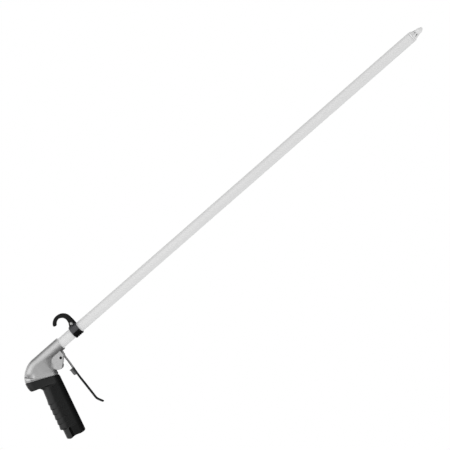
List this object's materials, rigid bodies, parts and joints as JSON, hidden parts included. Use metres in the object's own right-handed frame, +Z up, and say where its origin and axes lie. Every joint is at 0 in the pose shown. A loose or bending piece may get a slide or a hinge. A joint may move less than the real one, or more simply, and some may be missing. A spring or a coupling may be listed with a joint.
{
  "type": "air blow gun",
  "caption": "Long-reach compressed-air blow gun: pistol grip, lever trigger, straight extension tube, slotted nozzle and a clamp-on hanging hook.",
  "frame": {"origin": "middle of the hand grip, where the palm closes on it", "axes": "+X along the extension tube towards the nozzle, +Z up from the grip to the tube, +Y across the gun"},
  "size_m": [0.9635, 0.029, 0.1882],
  "materials": {
    "cast_alloy": "satin die-cast",
    "grip_black": "fine grain moulded",
    "hook_black": "moulded nylon",
    "plated_steel": "bright zinc plate",
    "steel": "machined",
    "tube_aluminium": "satin drawn",
    "nozzle_aluminium": "fine turned",
    "brass": "turned",
    "seal_rubber": "moulded"
  },
  "bodies": {
    "gun": {"head_casting": "cast_alloy", "grip_sleeve": "grip_black", "inlet_bushing": "steel", "inlet_washer": "seal_rubber", "gland_nut": "brass", "gland_washer": "seal_rubber", "stem_oring": "seal_rubber", "valve_seat": "brass", "return_spring": "steel", "trigger_pivot_pin": "steel", "tube_adapter": "brass", "adapter_washer": "seal_rubber", "adapter_oring": "seal_rubber", "extension_tube": "tube_aluminium", "nozzle_base": "nozzle_aluminium", "nozzle_oring": "seal_rubber", "nozzle_body": "nozzle_aluminium", "nozzle_jet": "brass"},
    "trigger": {"trigger_lever": "plated_steel"},
    "valve": {"valve_stem": "steel", "poppet_seal": "seal_rubber"},
    "hook": {"hook_clamp": "hook_black", "clamp_screw": "plated_steel", "clamp_washer": "plated_steel", "clamp_nut": "plated_steel"}
  },
  "joints": [
    {"name": "trigger_pull", "type": "hinge", "parent": "gun", "child": "trigger", "pos_m": [0.0573, 0, 0.06449], "axis": [0, 1, 0], "range_deg": [0, 14], "stiffness_Nm_per_rad": 0.8, "springref_deg": -14.32},
    {"name": "valve_slide", "type": "slide", "parent": "gun", "child": "valve", "axis": [-1, 0, 0], "range_m": [0, 0.0016], "deforming": ["return_spring"]},
    {"name": "hook_swivel", "type": "hinge", "parent": "gun", "child": "hook", "pos_m": [0.11025, 0, 0.08399], "axis": [1, 0, 0], "continuous": true}
  ],
  "couplings": [
    {"joint": "valve_slide", "follows": "trigger_pull", "m_per_rad": 0.0065}
  ]
}
